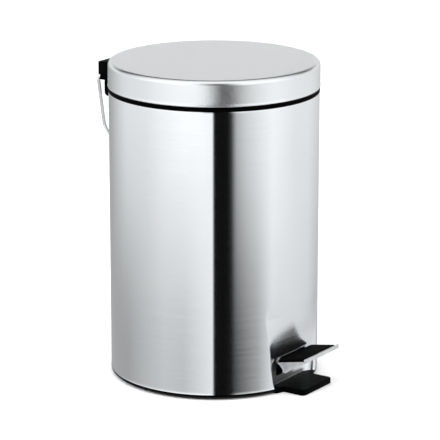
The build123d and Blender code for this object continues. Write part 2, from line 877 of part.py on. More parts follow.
def inner_bucket():
    """Lift-out bucket hanging by its rim, with two tabs for the bail."""
    flange_top_z = bucket_rim_z + bucket_rim_lip
    foot = bucket_low_radius - 2 * bucket_wall
    bucket = turned(
        [
            (0, bucket_floor_z),
            (foot, bucket_floor_z),
            (bucket_low_radius, bucket_floor_z + 2 * bucket_wall),
            (bucket_neck_radius, bucket_rim_z),
            (bucket_rim_radius, bucket_rim_z),
            (bucket_rim_radius, bucket_rim_top_z),
            (bucket_rim_radius - bucket_rim_lip, bucket_rim_top_z),
            (bucket_rim_radius - bucket_rim_lip, flange_top_z),
            (bucket_neck_radius - bucket_wall, flange_top_z),
            (bucket_low_radius - bucket_wall, bucket_floor_z + 3 * bucket_wall),
            (foot - bucket_wall / 2, bucket_floor_z + bucket_wall),
            (0, bucket_floor_z + bucket_wall),
        ]
    )
    for side in (-1, 1):
        ends = sorted((side * tab_x, side * (tab_x + tab)))
        top_z = bail_z + tab_top_above_bail
        lug = box(ends[0], ends[1], -tab_half, tab_half, bucket_rim_z, top_z)
        lug = fillet(lug.edges().filter_by(Axis.X).group_by(Axis.Z)[-1], tab_half / 2)
        lug -= shaft(bail_radius + easy, ends[0], ends[1], 0, bail_z)
        bucket += lug
    return bucket


def bucket_bail():
    """Wire bail lying round the front half of the bucket's rim."""
    run = bail_arc - bail_bend
    end_x = bail_arc - bail_end
    part_x = run + bail_bend * sin(bail_bend_step)
    part_y = -bail_bend * (1 - cos(bail_bend_step))
    path = Line((end_x, 0), (run, 0))
    path += ThreePointArc((run, 0), (part_x, part_y), (bail_arc, -bail_bend))
    path += ThreePointArc((bail_arc, -bail_bend), (0, -bail_arc - bail_bend), (-bail_arc, -bail_bend))
    path += ThreePointArc((-bail_arc, -bail_bend), (-part_x, part_y), (-run, 0))
    path += Line((-run, 0), (-end_x, 0))
    wire = Wire((Plane.XY.offset(bail_z) * path).edges())
    section = Plane(wire @ 0, z_dir=wire % 0) * Circle(bail_radius)
    return sweep(section, path=wire)


pieces = {
    "outer_body": outer_body,
    "top_rim_ring": top_rim_ring,
    "base_moulding": base_moulding,
    "anti_slip_ring": anti_slip_ring,
    "pedal_bracket": pedal_bracket,
    "bracket_screws": bracket_screws,
    "pedal_pivot_pin": pedal_pivot_pin,
    "pivot_pin_clip": pivot_pin_clip,
    "rod_guide": rod_guide,
    "hinge_housing": hinge_housing,
    "housing_backing_plate": housing_backing_plate,
    "housing_screws": housing_screws,
    "hinge_pin": hinge_pin,
    "lid_shell": lid_shell,
    "lid_liner": lid_liner,
    "lid_hinge_arm": lid_hinge_arm,
    "liner_screws": liner_screws,
    "lid_buffers": lid_buffers,
    "pedal_lever": pedal_lever,
    "pedal_tread": pedal_tread,
    "push_rod": push_rod,
    "rod_retainers": rod_retainers,
    "carry_handle": carry_handle,
    "inner_bucket": inner_bucket,
    "bucket_bail": bucket_bail,
}

os.makedirs("parts", exist_ok=True)
for name, make in pieces.items():
    made = make()
    solids = made if isinstance(made, list) else [made]
    shape = Compound(children=[s for piece in solids for s in piece.solids()])
    export_step(shape, os.path.join("parts", name + ".step"))
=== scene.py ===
import json
from math import cos, pi, radians, sin, tan

import bmesh
import bpy
import numpy as np
from mathutils import Matrix, Vector


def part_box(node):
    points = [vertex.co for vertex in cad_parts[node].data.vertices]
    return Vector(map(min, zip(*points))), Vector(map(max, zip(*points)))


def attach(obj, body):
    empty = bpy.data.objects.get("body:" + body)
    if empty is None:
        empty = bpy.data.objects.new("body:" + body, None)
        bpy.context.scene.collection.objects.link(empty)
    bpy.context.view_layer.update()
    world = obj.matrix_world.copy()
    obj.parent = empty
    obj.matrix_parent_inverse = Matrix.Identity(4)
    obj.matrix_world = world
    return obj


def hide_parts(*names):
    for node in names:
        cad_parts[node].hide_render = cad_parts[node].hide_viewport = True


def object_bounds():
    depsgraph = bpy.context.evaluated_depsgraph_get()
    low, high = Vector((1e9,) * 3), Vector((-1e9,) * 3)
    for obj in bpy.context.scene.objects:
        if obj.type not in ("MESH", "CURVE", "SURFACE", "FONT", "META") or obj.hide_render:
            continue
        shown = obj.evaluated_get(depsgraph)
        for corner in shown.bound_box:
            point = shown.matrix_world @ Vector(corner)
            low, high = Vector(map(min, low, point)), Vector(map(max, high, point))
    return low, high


# Pedal bin. Metres, +Z up, the axis of the bin at x = y = 0, pedal towards -Y, hinge towards +Y.
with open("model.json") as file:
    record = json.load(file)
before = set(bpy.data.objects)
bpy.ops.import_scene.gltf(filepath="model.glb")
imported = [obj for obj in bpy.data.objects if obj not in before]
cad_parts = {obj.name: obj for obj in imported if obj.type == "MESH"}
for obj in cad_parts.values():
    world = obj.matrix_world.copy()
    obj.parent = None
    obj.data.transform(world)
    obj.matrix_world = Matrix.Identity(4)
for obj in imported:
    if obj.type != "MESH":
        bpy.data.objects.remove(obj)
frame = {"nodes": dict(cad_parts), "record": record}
cad_low, cad_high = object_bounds()
MM = 0.001

# Where the camera stands: round the bin, above the floor and beside the bin's axis
CAMERA_AZIMUTH = -55.6
CAMERA_DISTANCE = 2.8834
CAMERA_HEIGHT = 0.9604
CAMERA_ASIDE = 0.01785
CAMERA_YAW = 0.216
CAMERA_PITCH = 15.045
CAMERA_LENS = 203.58
CAMERA_CLIP = 100.0
SENSOR = 36.0

# Studio wall, seen in reflections alone. It changes from its lower to its upper tones between
# WALL_LOW and WALL_HIGH. The tones are (degrees from the camera to its right, upper, lower).
WALL_RADIUS = 1.5
WALL_SIDES = 128
WALL_HIGH = -0.02
WALL_LOW = -0.36
WALL_TOP = 0.42
WALL_FOOT = -1.2
WALL_TONES = (
    (-180, 0.40, 0.36),
    (-154, 0.33, 0.35),
    (-142, 0.40, 0.35),
    (-128, 0.54, 0.34),
    (-107, 0.76, 0.33),
    (-75, 0.80, 0.46),
    (-55, 0.92, 0.52),
    (-32, 1.02, 0.48),
    (-12, 1.00, 0.66),
    (-1.3, 0.96, 0.78),
    (-0.4, 0.002, 0.002),
    (15, 0.002, 0.002),
    (18.5, 0.05, 0.004),
    (23.5, 0.46, 0.045),
    (33, 0.66, 0.14),
    (47, 0.82, 0.30),
    (64, 0.94, 0.68),
    (94, 0.78, 0.68),
    (121, 0.76, 0.62),
    (148, 0.60, 0.45),
    (180, 0.40, 0.36),
)

# What share of the light the steel gives back; the wall is brighter by as much
STEEL_SHARE = 0.80

# Sky in reflections: its tones, the dark bank behind the bin and the black flag above the wall's,
# with the angles or shares between which each edge fades
SKY_BACK = (0.93, 0.93, 0.93, 1.0)
SKY_FRONT = (1.30, 1.30, 1.30, 1.0)
SKY_DARK = (0.003, 0.003, 0.003, 1.0)
FRONT_FADE = (-0.25, 0.35)
BANK_FOOT = (radians(20), radians(26))
BANK_TOP = (radians(62), radians(80))
BANK_SIDES = (0.25, 0.75)
FLAG_LEFT = (radians(-18), radians(-5))
FLAG_RIGHT = (radians(15), radians(26))
FLAG_TOP = (radians(35), radians(65))
WHITE = (1.0, 1.0, 1.0, 1.0)

# Results of a span that falls instead of rising
FADE_OUT = (1.0, 0.0)

FLOOR_RADIUS = 9.0
FLOOR_SIDES = 96
FLOOR_TONE = (0.93, 0.93, 0.93, 1.0)

# Softboxes: (towards the camera, to its right, above the bin's middle), size and power
SOFTBOXES = {
    "softbox_left": ((1.6, -1.8, 2.2), 2.0, 45),
    "softbox_right": ((1.2, 2.2, 1.6), 1.6, 18),
    "softbox_top": ((0.0, 0.0, 3.0), 2.5, 40),
}

# Body: the pressed recess round the pedal, as on the CAD body, with drafted sides and rounded edges.
# The levels are (height, depth of the back below the body's front, half width) in millimetres.
SHEET = 0.8 * MM
RECESS_LEVELS = (
    (0.0, 16.0, 40.6),
    (31.0, 15.0, 47.8),
    (42.0, 10.6, 49.0),
    (60.0, 6.9, 51.9),
    (75.0, 2.9, 53.8),
    (95.0, -0.35, 55.5),
)
RECESS_BOW_POWER = 2.0
RECESS_DRAFT = radians(27)
RECESS_EDGE = 3.0 * MM
RECESS_FILLET = 9.0 * MM

# How far round and above its last level the fine grid of the recess goes on, and the search for
# the wall's reach: the smallest share of the radius it looks at, and how often it halves
RECESS_TURN = radians(33)
RECESS_SPARE = 14.0 * MM
DEEPEST_SHARE = 0.8
HALVINGS = 40

# The lever's slot, and how far the body flares at its foot and is drawn in at its top
SLOT_HALF = 28.0 * MM
SLOT_LOW = 16.5 * MM
SLOT_HIGH = 41.0 * MM
SLOT_CORNER = 3.0 * MM
SLOT_CORNER_POINTS = 7
SLOT_REACH = 0.02
FLARE = 0.3 * MM
FLARE_HEIGHT = 3.4 * MM

# Weld seam at the back: half width, rise, and its columns and fade as shares of the half width
SEAM_HALF = 0.7 * MM
SEAM_RISE = 0.12 * MM
SEAM_FADE = 1.6
SEAM_PLACES = (-2.0, -1.0, -0.6, 0.0, 0.6, 1.0, 2.0)
SEAM_CLEAR = 4

# Grid of the body. The recess's side walls lie between two shares of its half angle.
SIDE_WALL = (0.84, 1.06)
BACK_COLUMNS = 25
SIDE_COLUMNS = 70
EDGE_COLUMNS = 12
ROUND_COLUMNS = 150
FOOT_RINGS = 9
RECESS_RINGS = 110
MIDDLE_RINGS = 12
TOP_RINGS = 11

# Steel of the body: how far inside the bin's half width the sheet counts as pressed in, and the
# roughness that stretching adds at the lower and the upper of two heights
PRESSED_IN = (3.0 * MM, 1.0 * MM)
STRETCHED_HEIGHTS = (48.0 * MM, 68.0 * MM)
STRETCHED_ROUGHNESS = (0.03, 0.16)

# Lid: the crown's radius, the skin's thickness, the flare at the skirt's lower edge, the numbers
# of points on its outline, and the notch for the hinge housing
LID_CORNER = 5.5 * MM
LID_WALL = 1.93 * MM
LID_FLARE = 0.39 * MM
LID_INSIDE_LOW = 0.1 * MM
TOP_SHARES = np.linspace(0.2, 0.97, 5)
CROWN_POINTS = 33
SKIRT_START = 0.5 * MM
SKIRT_RINGS = 6
FLARE_SHARES = np.linspace(0, 1, 8)[1:]
HEM = 1.3 * MM
HEM_POINTS = 7
INNER_POINTS = 17
NOTCH_HALF = 18.0 * MM
NOTCH_RISE = 14.1 * MM
NOTCH_NEAR = 0.10
NOTCH_FAR = 0.16
CUT_SPARE = 0.01
LATHE_COLUMNS = 360

# Meshes: distances below which points are welded, angles above which edges stay sharp, the angle
# below which faces are merged and the one above which edges are rounded
WELD = 1e-6
NODE_WELD = 2e-6
SKIN_SHARP = radians(32)
COPY_SHARP = radians(40)
COPY_FLAT = radians(0.6)
ROUNDED_FROM = radians(28)
ROUNDING_STEPS = 3

# Parts shown as a copy of their CAD node with rounded edges, and the rounding
ROUNDED = {
    "base_moulding": 0.35 * MM,
    "top_rim_ring": 0.35 * MM,
    "hinge_housing": 0.6 * MM,
    "lid_liner": 0.5 * MM,
    "lid_hinge_arm": 0.25 * MM,
    "pedal_lever": 0.35 * MM,
    "pedal_tread": 0.5 * MM,
    "pedal_bracket": 0.25 * MM,
    "rod_guide": 0.4 * MM,
    "inner_bucket": 0.3 * MM,
}

# Upright screws: rounding of their heads and the cross recesses
SCREW_ROUNDING = 0.1 * MM
CROSS_LENGTH = 3.6 * MM
CROSS_WIDTH = 0.9 * MM
CROSS_DEPTH = 1.2 * MM

# The moving body that each CAD node belongs to
BODY_OF = {
    node: body
    for body, nodes in frame["record"]["behaviour"]["bodies"].items()
    for node in nodes
}

# Level directions from the bin's axis to the camera, and to the camera's right
camera_turn = radians(CAMERA_AZIMUTH)
camera_back = Vector((sin(camera_turn), -cos(camera_turn), 0))
camera_side = Vector((cos(camera_turn), sin(camera_turn), 0))


# ---------------------------------------------------------------- camera, floor and light


def make_camera():
    """A long-lensed camera in front of the bin and above it, looking slightly down."""
    data = bpy.data.cameras.new("camera")
    data.lens = CAMERA_LENS
    data.sensor_width = SENSOR
    data.clip_end = CAMERA_CLIP
    camera = bpy.data.objects.new("camera", data)
    camera.location = camera_back * CAMERA_DISTANCE + camera_side * CAMERA_ASIDE
    camera.location.z = CAMERA_HEIGHT
    camera.rotation_euler = (radians(90 - CAMERA_PITCH), 0, camera_turn + radians(CAMERA_YAW))
    bpy.context.scene.collection.objects.link(camera)
    bpy.context.scene.camera = camera


class Graph:
    """Short calls for building a shader's nodes."""

    def __init__(self, tree):
        self.tree = tree
        tree.nodes.clear()

    def add(self, kind, inputs=(), **settings):
        """A new node with its settings; each input is a fixed value or another node's socket."""
        node = self.tree.nodes.new(kind)
        for key, value in settings.items():
            setattr(node, key, value)
        for key, value in dict(inputs).items():
            if isinstance(value, bpy.types.NodeSocket):
                self.tree.links.new(value, node.inputs[key])
            else:
                node.inputs[key].default_value = value
        return node

    def math(self, operation, a, b=0.0):
        """The result of a sum or function of one or two values."""
        return self.add("ShaderNodeMath", {0: a, 1: b}, operation=operation).outputs[0]

    def dot(self, a, b):
        """How far one direction reaches along another."""
        return self.add("ShaderNodeVectorMath", {0: a, 1: b}, operation="DOT_PRODUCT").outputs["Value"]

    def span(self, value, low, high, to_low=0.0, to_high=1.0):
        """value mapped from low..high to to_low..to_high, eased at both ends."""
        inputs = {0: value, 1: low, 2: high, 3: to_low, 4: to_high}
        return self.add("ShaderNodeMapRange", inputs, interpolation_type="SMOOTHSTEP").outputs[0]

    def ramp(self, factor, stops):
        """A colour ramp with grey or coloured stops."""
        node = self.add("ShaderNodeValToRGB", {0: factor})
        elements = node.color_ramp.elements
        while len(elements) > 1:
            elements.remove(elements[-1])
        for index, (place, tone) in enumerate(stops):
            colour = tone if isinstance(tone, tuple) else (tone,) * 3
            element = elements[0] if index == 0 else elements.new(place)
            element.position = place
            element.color = (*colour, 1.0)
        return node.outputs[0]

    def mix(self, factor, a, b):
        """A blend of two colours."""
        return self.add("ShaderNodeMix", {0: factor, 6: a, 7: b}, data_type="RGBA").outputs[2]


def only_seen_in_gloss(obj):
    """A studio wall shows in reflections alone."""
    obj.visible_camera = False
    obj.visible_diffuse = False
    obj.visible_transmission = False
    obj.visible_volume_scatter = False
    obj.visible_shadow = False


def new_object(name, mesh, material=None):
    """A mesh as an object in the scene, with its material if it has one."""
    obj = bpy.data.objects.new(name, mesh)
    bpy.context.scene.collection.objects.link(obj)
    if material is not None:
        mesh.materials.append(material)
    return obj


def make_walls():
    """A round studio wall: pale, with one black flag beside the camera and darker towards the floor."""
    bm = bmesh.new()
    turns = [2 * pi * i / WALL_SIDES for i in range(WALL_SIDES)]
    foot, top = (
        [bm.verts.new((WALL_RADIUS * cos(a), WALL_RADIUS * sin(a), z)) for a in turns]
        for z in (WALL_FOOT, WALL_TOP)
    )
    for i in range(WALL_SIDES):
        j = (i + 1) % WALL_SIDES
        bm.faces.new((foot[i], top[i], top[j], foot[j]))
    mesh = bpy.data.meshes.new("studio_wall")
    bm.to_mesh(mesh)
    bm.free()
    material = bpy.data.materials.new("studio_wall")
    material.use_nodes = True
    g = Graph(material.node_tree)
    place = g.add("ShaderNodeTexCoord").outputs["Object"]
    ahead = g.dot(place, camera_back)
    aside = g.dot(place, camera_side)
    turn = g.math("ARCTAN2", aside, ahead)
    share = g.math("ADD", g.math("DIVIDE", turn, 2 * pi), 0.5)
    high = g.ramp(share, [(degrees / 360 + 0.5, upper) for degrees, upper, _ in WALL_TONES])
    low = g.ramp(share, [(degrees / 360 + 0.5, lower) for degrees, _, lower in WALL_TONES])
    height = g.add("ShaderNodeSeparateXYZ", {0: place}).outputs["Z"]
    rise = g.add("ShaderNodeMapRange", {0: height, 1: WALL_LOW, 2: WALL_HIGH}).outputs[0]
    tone = g.mix(rise, low, high)
    shine = g.add("ShaderNodeEmission", {"Color": tone, "Strength": 1 / STEEL_SHARE})
    g.add("ShaderNodeOutputMaterial", {"Surface": shine.outputs[0]})
    wall = new_object("studio_wall", mesh, material)
    only_seen_in_gloss(wall)


def make_world():
    """Even white light; in reflections the sky has a dark bank behind the bin and is brightest in front."""
    world = bpy.data.worlds.new("studio")
    bpy.context.scene.world = world
    world.use_nodes = True
    g = Graph(world.node_tree)
    way = g.add("ShaderNodeTexCoord").outputs["Generated"]
    height = g.add("ShaderNodeSeparateXYZ", {0: way}).outputs["Z"]
    elevation = g.math("ARCSINE", height)
    behind = g.dot(way, -camera_back)
    front = g.span(g.math("MULTIPLY", behind, -1.0), *FRONT_FADE)
    bank = g.math("MULTIPLY", g.span(elevation, *BANK_FOOT), g.span(elevation, *BANK_TOP, *FADE_OUT))
    bank = g.math("MULTIPLY", bank, g.span(behind, *BANK_SIDES))
    turn = g.math("ARCTAN2", g.dot(way, camera_side), g.dot(way, camera_back))
    flag = g.math("MULTIPLY", g.span(turn, *FLAG_LEFT), g.span(turn, *FLAG_RIGHT, *FADE_OUT))
    flag = g.math("MULTIPLY", flag, g.span(elevation, *FLAG_TOP, *FADE_OUT))
    plain = g.mix(front, SKY_BACK, SKY_FRONT)
    sky = g.mix(g.math("MAXIMUM", bank, flag), plain, SKY_DARK)
    path = g.add("ShaderNodeLightPath")
    tone = g.mix(path.outputs["Is Glossy Ray"], WHITE, sky)
    background = g.add("ShaderNodeBackground", {"Color": tone, "Strength": 1.0})
    g.add("ShaderNodeOutputWorld", {"Surface": background.outputs[0]})


def make_floor():
    """A plain white floor."""
    bm = bmesh.new()
    bmesh.ops.create_circle(bm, cap_ends=True, radius=FLOOR_RADIUS, segments=FLOOR_SIDES)
    mesh = bpy.data.meshes.new("floor")
    bm.to_mesh(mesh)
    bm.free()
    material = bpy.data.materials.new("floor")
    material.use_nodes = True
    g = Graph(material.node_tree)
    matt = g.add("ShaderNodeBsdfDiffuse", {"Color": FLOOR_TONE})
    g.add("ShaderNodeOutputMaterial", {"Surface": matt.outputs[0]})
    floor = new_object("floor", mesh, material)
    floor.visible_glossy = False


def add_softbox(name, place, target, size, power):
    """A square lamp that lights but isn't seen, itself or in reflections."""
    data = bpy.data.lights.new(name, "AREA")
    data.shape = "SQUARE"
    data.size = size
    data.energy = power
    light = bpy.data.objects.new(name, data)
    light.location = place
    light.rotation_mode = "QUATERNION"
    light.rotation_quaternion = (Vector(place) - Vector(target)).to_track_quat("Z", "Y")
    light.visible_glossy = False
    light.visible_camera = False
    bpy.context.scene.collection.objects.link(light)


def make_lights():
    """The three soft lights, all turned to the bin's middle."""
    middle = Vector((0, 0, cad_high.z / 2))
    for name, ((ahead, aside, above), size, power) in SOFTBOXES.items():
        place = middle + camera_back * ahead + camera_side * aside + Vector((0, 0, above))
        add_softbox(name, place, middle, size, power)


# ---------------------------------------------------------------- materials


def start_material(name, **shader):
    """A new material with its shader's fixed values set."""
    material = bpy.data.materials.new(name)
    material.use_nodes = True
    g = Graph(material.node_tree)
    bsdf = g.add("ShaderNodeBsdfPrincipled")
    for key, value in shader.items():
        bsdf.inputs[key.replace("_", " ")].default_value = value
    g.add("ShaderNodeOutputMaterial", {"Surface": bsdf.outputs[0]})
    return material, g, bsdf


def object_place(g):
    """Texture place in the bin's own frame."""
    return g.add("ShaderNodeTexCoord").outputs["Object"]


def stretched_place(g, scale):
    """Texture place with its own scale along each axis."""
    return g.add("ShaderNodeMapping", {0: object_place(g), "Scale": scale}).outputs[0]


def round_place(g, along, up):
    """Texture place on a round wall: distance round the axis times along, height times up."""
    parts = g.add("ShaderNodeSeparateXYZ", {0: object_place(g)}).outputs
    turn = g.math("ARCTAN2", parts["X"], g.math("MULTIPLY", parts["Y"], -1.0))
    across = g.math("MULTIPLY", turn, cad_high.x * along)
    height = g.math("MULTIPLY", parts["Z"], up)
    return g.add("ShaderNodeCombineXYZ", {0: across, 1: height}).outputs[0]


def noise(g, place, scale, detail=2.0, rough=0.5):
    """Cloudy noise from nothing to one, at a number of repeats per metre of the place."""
    inputs = {"Vector": place, "Scale": scale, "Detail": detail, "Roughness": rough}
    return g.add("ShaderNodeTexNoise", inputs).outputs["Fac"]


def set_normal(g, bsdf, height, strength, distance):
    """Bumps a shader's surface by a height pattern."""
    inputs = {"Height": height, "Strength": strength, "Distance": distance}
    g.tree.links.new(g.add("ShaderNodeBump", inputs).outputs[0], bsdf.inputs["Normal"])


def set_input(g, bsdf, name, value):
    """Feeds a pattern into a shader's input."""
    g.tree.links.new(value, bsdf.inputs[name])


def body_steel():
    """Stainless sheet, brushed round the body: fine level scratches and faint broad bands."""
    material, g, bsdf = start_material(
        "brushed_body_steel", Metallic=1.0, Anisotropic=0.95, Anisotropic_Rotation=0.25
    )
    fine = noise(g, round_place(g, along=60, up=2600), scale=1.0, detail=3.0)
    coarse = noise(g, round_place(g, along=9, up=320), scale=1.0)
    patch = noise(g, object_place(g), scale=9.0)
    tint = g.ramp(patch, [(0.3, (0.770, 0.797, 0.820)), (0.7, (0.797, 0.823, 0.842))])
    scratches = g.ramp(fine, [(0.3, 0.62), (0.7, 0.95)])
    set_input(g, bsdf, "Base Color", g.mix(0.12, tint, scratches))
    parts = g.add("ShaderNodeSeparateXYZ", {0: object_place(g)}).outputs
    squares = [g.math("POWER", parts[axis], 2.0) for axis in ("X", "Y")]
    reach = g.math("SQRT", g.math("ADD", *squares))
    pressed = g.span(reach, *(cad_high.x - inset for inset in PRESSED_IN), *FADE_OUT)
    stretch = g.span(parts["Z"], *STRETCHED_HEIGHTS, *STRETCHED_ROUGHNESS)
    bands = g.span(coarse, 0.25, 0.75, to_low=0.11, to_high=0.14)
    set_input(g, bsdf, "Roughness", g.math("ADD", bands, g.math("MULTIPLY", pressed, stretch)))
    set_normal(g, bsdf, fine, strength=0.05, distance=0.0002)
    tangent = g.add("ShaderNodeTangent", direction_type="RADIAL", axis="Z").outputs[0]
    g.tree.links.new(tangent, bsdf.inputs["Tangent"])
    return material


def lid_steel():
    """Stainless sheet with an even, slightly grainy satin finish."""
    material, g, bsdf = start_material("satin_lid_steel", Metallic=1.0)
    grain = noise(g, object_place(g), scale=900.0, detail=3.0, rough=0.65)
    speck = noise(g, object_place(g), scale=2600.0, detail=1.0)
    patch = noise(g, object_place(g), scale=14.0)
    tint = g.ramp(patch, [(0.3, (0.775, 0.803, 0.822)), (0.7, (0.805, 0.831, 0.846))])
    specks = g.ramp(speck, [(0.3, 0.6), (0.7, 0.97)])
    set_input(g, bsdf, "Base Color", g.mix(0.15, tint, specks))
    set_input(g, bsdf, "Roughness", g.span(grain, 0.3, 0.7, to_low=0.17, to_high=0.25))
    set_normal(g, bsdf, grain, strength=0.45, distance=0.0004)
    return material


def pressed_steel():
    """Bare pressed steel of the pedal and the hinge arm, with a drawn grain along it."""
    material, g, bsdf = start_material("pressed_steel", Metallic=1.0)
    drawn = noise(g, stretched_place(g, (1800, 90, 1800)), scale=1.0)
    patch = noise(g, object_place(g), scale=60.0, detail=3.0)
    set_input(g, bsdf, "Base Color", g.ramp(patch, [(0.3, (0.70, 0.71, 0.72)), (0.7, (0.82, 0.83, 0.84))]))
    set_input(g, bsdf, "Roughness", g.span(drawn, 0.3, 0.7, to_low=0.17, to_high=0.27))
    set_normal(g, bsdf, drawn, strength=0.08, distance=0.0002)
    return material


def zinc_steel():
    """Zinc plate with its slightly warm, mottled spangle."""
    material, g, bsdf = start_material("zinc_steel", Metallic=1.0)
    cells = g.add("ShaderNodeTexVoronoi", {"Vector": object_place(g), "Scale": 420.0}).outputs["Color"]
    tone = g.ramp(cells, [(0.2, (0.58, 0.59, 0.60)), (0.8, (0.74, 0.73, 0.70))])
    smear = noise(g, object_place(g), scale=180.0, detail=3.0)
    set_input(g, bsdf, "Base Color", tone)
    set_input(g, bsdf, "Roughness", g.span(smear, 0.3, 0.7, to_low=0.28, to_high=0.46))
    set_normal(g, bsdf, smear, strength=0.08, distance=0.0003)
    return material


def bright_wire():
    """Chromed wire, with the faint ripple of drawn wire under the plate."""
    material, g, bsdf = start_material("bright_wire", Metallic=1.0)
    ripple = noise(g, stretched_place(g, (900, 900, 60)), scale=1.0)
    haze = noise(g, object_place(g), scale=240.0)
    set_input(g, bsdf, "Base Color", g.ramp(haze, [(0.3, (0.84, 0.85, 0.86)), (0.7, (0.92, 0.92, 0.93))]))
    set_input(g, bsdf, "Roughness", g.span(haze, 0.3, 0.7, to_low=0.07, to_high=0.14))
    set_normal(g, bsdf, ripple, strength=0.04, distance=0.0002)
    return material


def moulded_plastic(name, tone, rough, grain, texture):
    """Moulded plastic with a fine spark-eroded texture and a slight unevenness of gloss."""
    material, g, bsdf = start_material(name, Specular_IOR_Level=0.012)
    fine = noise(g, object_place(g), scale=texture, detail=3.0, rough=0.6)
    broad = noise(g, object_place(g), scale=45.0)
    dark = tuple(0.75 * c for c in tone)
    light = tuple(1.35 * c for c in tone)
    set_input(g, bsdf, "Base Color", g.ramp(broad, [(0.3, dark), (0.7, light)]))
    set_input(g, bsdf, "Roughness", g.span(fine, 0.3, 0.7, rough - 0.07, rough + 0.07))
    set_normal(g, bsdf, fine, strength=grain, distance=0.0004)
    return material


def black_rubber():
    """Matt rubber with a fine leathery grain and a trace of paler dust."""
    material, g, bsdf = start_material("black_rubber", Specular_IOR_Level=0.015)
    cells = g.add("ShaderNodeTexVoronoi", {"Vector": object_place(g), "Scale": 1500.0}).outputs["Distance"]
    dust = noise(g, object_place(g), scale=130.0, detail=4.0, rough=0.65)
    set_input(g, bsdf, "Base Color", g.ramp(dust, [(0.35, 0.0008), (0.75, 0.0028)]))
    set_input(g, bsdf, "Roughness", g.span(dust, 0.3, 0.7, to_low=0.62, to_high=0.80))
    set_normal(g, bsdf, cells, strength=0.15, distance=0.0003)
    return material


steel_body = body_steel()
steel_lid = lid_steel()

FINISH = {
    "polished_steel": steel_body,
    "stamped_steel": pressed_steel(),
    "zinc_steel": zinc_steel(),
    "bright_wire": bright_wire(),
    "black_plastic": moulded_plastic(
        "black_plastic", tone=(0.0010, 0.0011, 0.0012), rough=0.42, grain=0.18, texture=1400.0
    ),
    "bucket_plastic": moulded_plastic(
        "bucket_plastic", tone=(0.012, 0.0122, 0.0128), rough=0.40, grain=0.10, texture=900.0
    ),
    "black_rubber": black_rubber(),
}


# ---------------------------------------------------------------- mesh helpers


def smooth_max(a, b, width):
    """The larger of two values, with a rounded change-over of the given width."""
    overlap = np.maximum(width - np.abs(a - b), 0) / width
    return np.maximum(a, b) + overlap * overlap * width / 4


def grid_mesh(name, points):
    """A mesh from rows of points, closed round each row and from the last row to the first."""
    rows, columns = points.shape[:2]
    faces = []
    for i in range(rows):
        low = i * columns
        high = ((i + 1) % rows) * columns
        for j in range(columns):
            k = (j + 1) % columns
            faces.append((low + j, low + k, high + k, high + j))
    mesh = bpy.data.meshes.new(name)
    mesh.from_pydata(points.reshape(-1, 3).tolist(), [], faces)
    return mesh


def shade_smooth(mesh, sharp):
    """Shades a mesh smooth up to the sharp angle."""
    mesh.polygons.foreach_set("use_smooth", [True] * len(mesh.polygons))
    mesh.set_sharp_from_angle(angle=sharp)


def tidy_mesh(mesh):
    """Welds doubles, points the faces outwards and shades smooth."""
    bm = bmesh.new()
    bm.from_mesh(mesh)
    bmesh.ops.remove_doubles(bm, verts=bm.verts, dist=WELD)
    bmesh.ops.recalc_face_normals(bm, faces=bm.faces)
    bm.to_mesh(mesh)
    bm.free()
    shade_smooth(mesh, SKIN_SHARP)
    mesh.update()


def bake(obj):
    """Gives an object the mesh that its modifiers make."""
    bpy.context.view_layer.update()
    evaluated = obj.evaluated_get(bpy.context.evaluated_depsgraph_get())
    made = bpy.data.meshes.new_from_object(evaluated)
    obj.modifiers.clear()
    old = obj.data
    obj.data = made
    bpy.data.meshes.remove(old)
    made.name = obj.name


def apply_cut(obj, cutter):
    """Cuts one object out of another and removes the cutter."""
    modifier = obj.modifiers.new("cut", "BOOLEAN")
    modifier.operation = "DIFFERENCE"
    modifier.solver = "EXACT"
    modifier.object = cutter
    bake(obj)
    bpy.data.objects.remove(cutter)


def lathe(name, profile, material):
    """A closed (radius, z) outline turned about the bin's axis."""
    turns = np.linspace(0, 2 * pi, LATHE_COLUMNS, endpoint=False)
    outline = np.array(profile)
    points = np.empty((len(outline), LATHE_COLUMNS, 3))
    points[:, :, 0] = outline[:, :1] * np.sin(turns)
    points[:, :, 1] = -outline[:, :1] * np.cos(turns)
    points[:, :, 2] = outline[:, 1:]
    mesh = grid_mesh(name, points)
    tidy_mesh(mesh)
    return new_object(name, mesh, material)


def arc(centre_r, centre_z, radius, start, end, count):
    """Points on an arc, its angles counted up from the outward direction."""
    return [
        (centre_r + radius * cos(a), centre_z + radius * sin(a))
        for a in np.linspace(start, end, count)
    ]


def block(name, low, high):
    """A plain box used as a cutter."""
    bm = bmesh.new()
    bmesh.ops.create_cube(bm, size=1.0)
    size = Vector(high) - Vector(low)
    centre = (Vector(high) + Vector(low)) / 2
    bmesh.ops.transform(bm, matrix=Matrix.Translation(centre) @ Matrix.Diagonal((*size, 1)), verts=bm.verts)
    mesh = bpy.data.meshes.new(name)
    bm.to_mesh(mesh)
    bm.free()
    return new_object(name, mesh)


# ---------------------------------------------------------------- body


def eased(place, knots, values):
    """A smooth curve through the knots, straight beyond the last one."""
    slopes = np.gradient(values, knots)
    index = np.clip(np.searchsorted(knots, place) - 1, 0, len(knots) - 2)
    span = knots[index + 1] - knots[index]
    t = np.clip((place - knots[index]) / span, 0, 1)
    rise = values[index + 1] - values[index]
    start = slopes[index] * span
    end = slopes[index + 1] * span
    curve = values[index] + t * (start + t * (3 * rise - 2 * start - end + t * (start + end - 2 * rise)))
    return curve + slopes[-1] * np.maximum(place - knots[-1], 0)


def recess_back(z):
    """The recess at a height: how far its back stands in front of the axis, its bow and half width."""
    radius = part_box("outer_body")[1].x
    knots, depths, halves = np.array(RECESS_LEVELS).T * MM
    depth = eased(z, knots, depths)
    half = eased(np.minimum(z, knots[-1]), knots, halves)
    share = 1 - np.clip(depth, 0, depths[0]) / depths[0]
    bow = share**RECESS_BOW_POWER * (radius - np.sqrt(radius**2 - half**2))
    return radius - depth, bow, half


